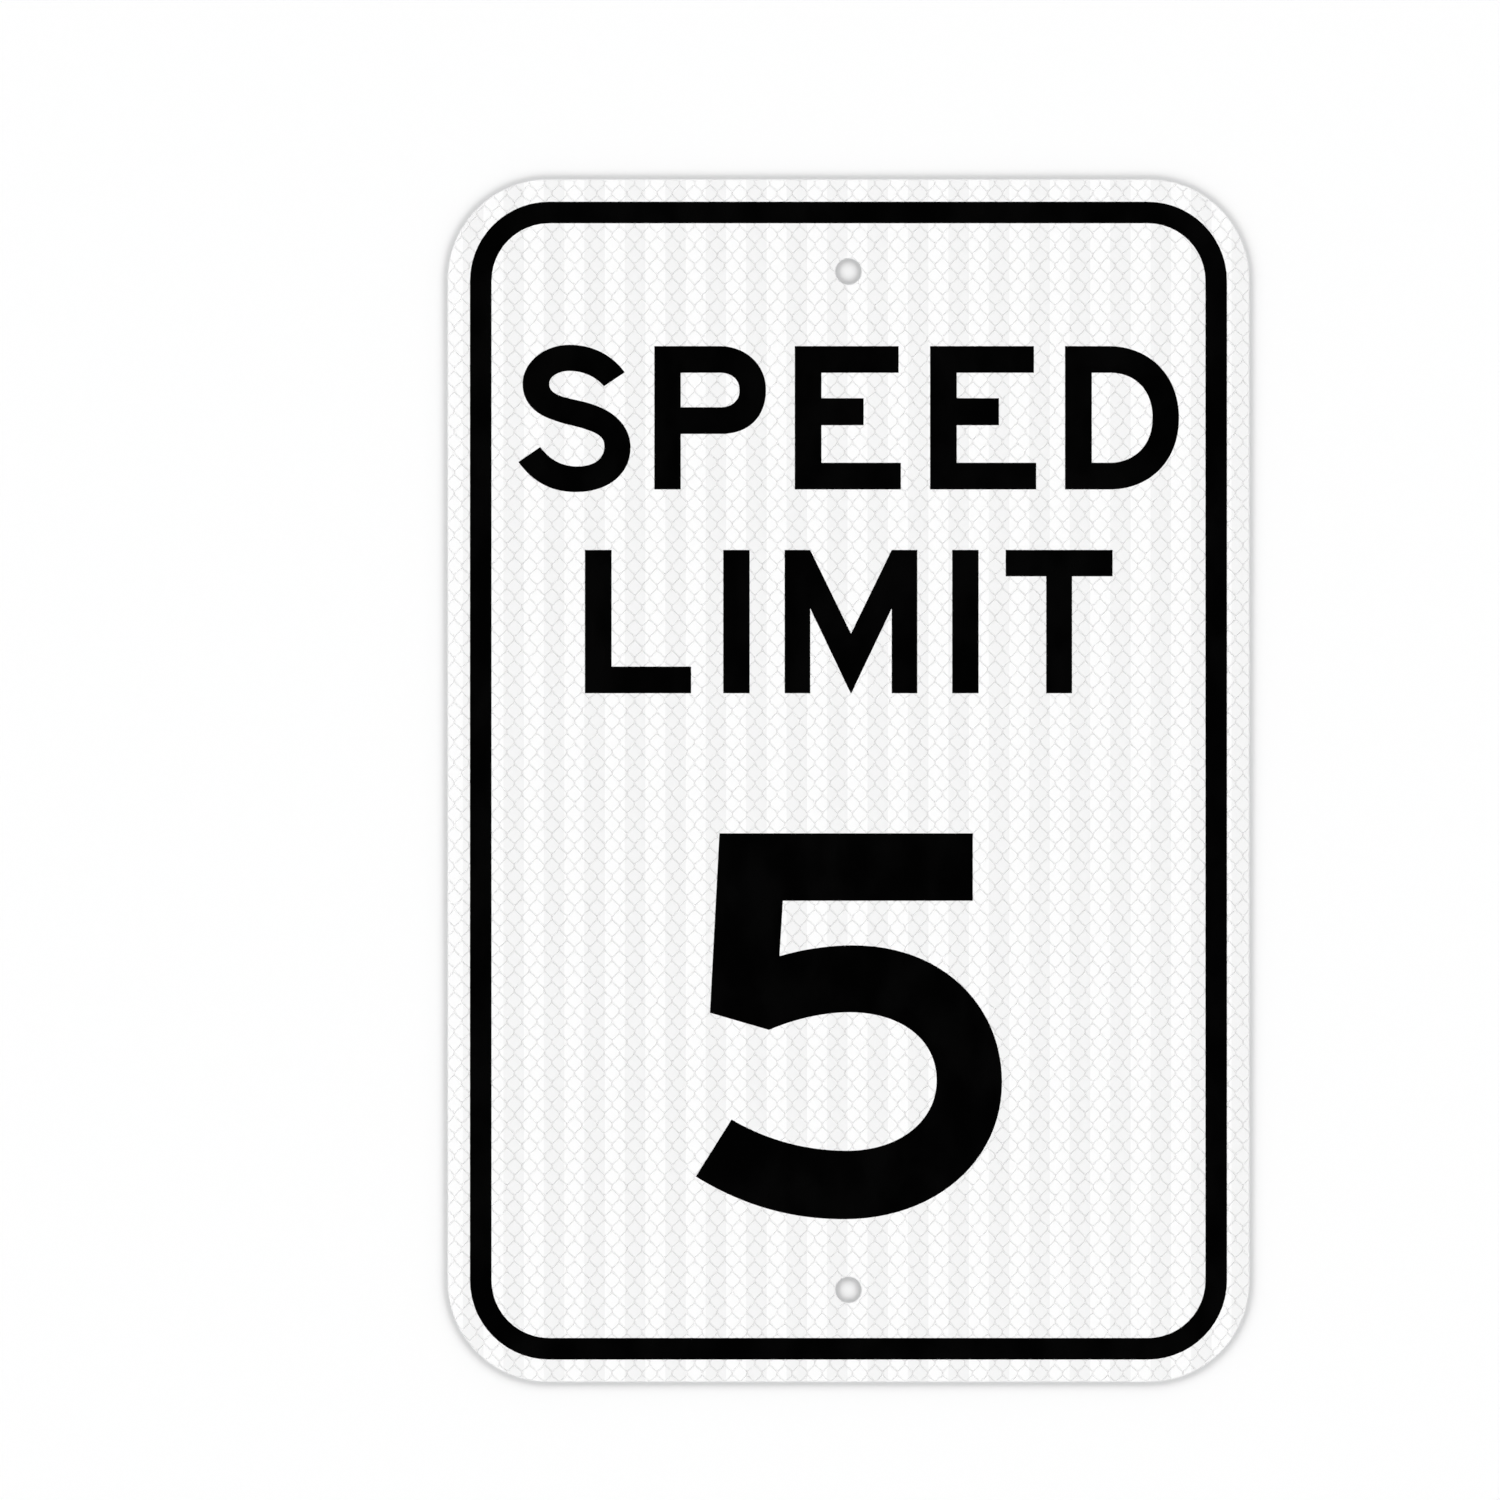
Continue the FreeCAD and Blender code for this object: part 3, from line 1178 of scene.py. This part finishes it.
@dataclass
class Studio:
    """The white wall that the sign is fixed to, the pale floor, the light and the camera.

    Sizes are in metres, unless their names say pixels or mm.
    """

    image_pixels: float = 1500.0
    pixels_per_mm: float = 2.63
    sign_centre_pixel: Point = (848.48, 780.64)
    camera_distance: float = 0.8
    wall_behind_mm: float = 0.3
    wall_size: float = 4.0
    wall_paint: Backdrop = Backdrop("white_wall_paint", "#FCFCFC")
    floor_height: float = -0.32
    floor_paper: Backdrop = Backdrop("pale_paper", "#F4F4F3")
    face_light: float = 1.025
    gap: TentStep = TentStep(34.0, 0.02, 1.0)
    sides: TentStep = TentStep(64.0, 1.0, 0.35)
    rear_heights: Span = (-0.3, 0.8)
    rear_strengths: Span = (0.7, 1.15)
    rear_blend: Span = (0.0, 0.15)
    angle_steps: int = 2000

    def build(self) -> None:
        """Make the camera, the wall, the floor and the light."""
        self.place_camera()
        half, low, behind = self.wall_size / 2, self.floor_height, self.wall_behind_mm * MM
        self.add_plane("studio_wall", self.wall_paint, [
            (-half, behind, low), (half, behind, low), (half, behind, half), (-half, behind, half)])
        floor = self.add_plane("studio_floor", self.floor_paper, [
            (-half, -half, low), (half, -half, low), (half, half, low), (-half, half, low)])
        floor.visible_diffuse = False
        self.light()
        bpy.context.scene.view_settings.view_transform = "Standard"

    def place_camera(self) -> None:
        """Look straight at the sign with no perspective, framed as the photograph is."""
        scale = self.pixels_per_mm / MM
        middle = self.image_pixels / 2
        data = bpy.data.cameras.new("camera")
        data.type = "ORTHO"
        data.ortho_scale = self.image_pixels / scale
        camera = bpy.data.objects.new("camera", data)
        camera.location = ((middle - self.sign_centre_pixel[0]) / scale, -self.camera_distance,
                           (self.sign_centre_pixel[1] - middle) / scale)
        camera.rotation_euler = (math.pi / 2, 0.0, 0.0)
        bpy.context.scene.collection.objects.link(camera)
        bpy.context.scene.camera = camera

    @staticmethod
    def add_plane(name: str, paint: Backdrop, corners: list[Size]) -> Object:
        """Add a flat backdrop that shows the sign's shadow and casts none itself.

        Args:
            name: the backdrop's name.
            paint: its paint or paper.
            corners: its four corners in metres, anticlockwise as seen from its front.

        Returns:
            The new object.
        """
        mesh = bpy.data.meshes.new(name)
        mesh.from_pydata(corners, [], [(0, 1, 2, 3)])
        mesh.materials.append(paint.material())
        plane = bpy.data.objects.new(name, mesh)
        plane.visible_glossy = False
        plane.visible_transmission = False
        plane.visible_shadow = False
        bpy.context.scene.collection.objects.link(plane)
        return plane

    def tent_level(self) -> float:
        """Work out the tent's strength that gives the sign's face its light.

        The tent's strength at an angle t from the way the sign faces is the level times s(t),
        the product of the steps. A step goes by 3 u^2 - 2 u^3, with u from zero to one over its
        span. A face that looks straight at the tent gets the level times the integral of
        2 s(t) sin(t) cos(t) from zero to a quarter turn.

        Returns:
            The level.
        """
        angle = np.linspace(0.0, math.pi / 2, self.angle_steps + 1)
        shape = np.ones_like(angle)
        for step in (self.gap, self.sides):
            first, last = step.span()
            share = np.clip((-np.cos(angle) - first) / (last - first), 0.0, 1.0)
            shape *= step.inside + (step.outside - step.inside) * share ** 2 * (3 - 2 * share)
        light = 2 * np.sum(shape * np.sin(angle) * np.cos(angle)) * (angle[1] - angle[0])
        return self.face_light / float(light)

    def light(self) -> None:
        """Light the studio evenly from all round, like a white tent with the camera's gap in it.

        The gap is a dark disc in the direction that the sign faces, and towards the sides the
        tent falls off. Behind the sign it is brighter above than below. The camera sees plain
        white instead, and so do gloss and clear parts, apart from the gap.
        """
        world = bpy.data.worlds.new("soft_studio_tent")
        bpy.context.scene.world = world
        add = start_nodes(world)
        ray = add("TexCoord").outputs["Generated"]
        parts = add("SeparateXYZ", (ray,)).outputs
        front = self.tent_level()
        for step in (self.gap, self.sides):
            share = add("MapRange", (parts["Y"], *step.span(), step.inside, step.outside))
            front = add("Math", (front, share), operation="MULTIPLY")
        rear = add("MapRange", (parts["Z"], *self.rear_heights, *self.rear_strengths))
        behind = add("MapRange", (parts["Y"], *self.rear_blend, 0.0, 1.0))
        tent = add("Mix", {0: behind, 2: front, 3: rear}, data_type="FLOAT")
        rays = add("LightPath").outputs
        mirrored = (rays["Is Glossy Ray"], rays["Is Transmission Ray"])
        mirrored = add("Math", mirrored, operation="MAXIMUM")
        beside = add("MapRange", (parts["Y"], *self.gap.span(), 0.0, 1.0))
        mirrored = add("Math", (mirrored, beside), operation="MULTIPLY")
        plain = add("Math", (rays["Is Camera Ray"], mirrored), operation="MAXIMUM")
        strength = add("Mix", {0: plain, 2: tent, 3: 1.0}, data_type="FLOAT")
        background = add("Background", {"Color": linear("#FFFFFF"), "Strength": strength})
        add("OutputWorld", {"Surface": background})


def main() -> None:
    """Build the sign and its studio, in order."""
    logging.basicConfig(level=logging.INFO, format="%(message)s")
    Studio().build()
    panel = Panel()
    panel.dress(MillAluminium())
    Sheeting(panel).build(PrismaticFilm())
    Printing(panel).build(ScreenInk())


if __name__ == "__main__":
    main()
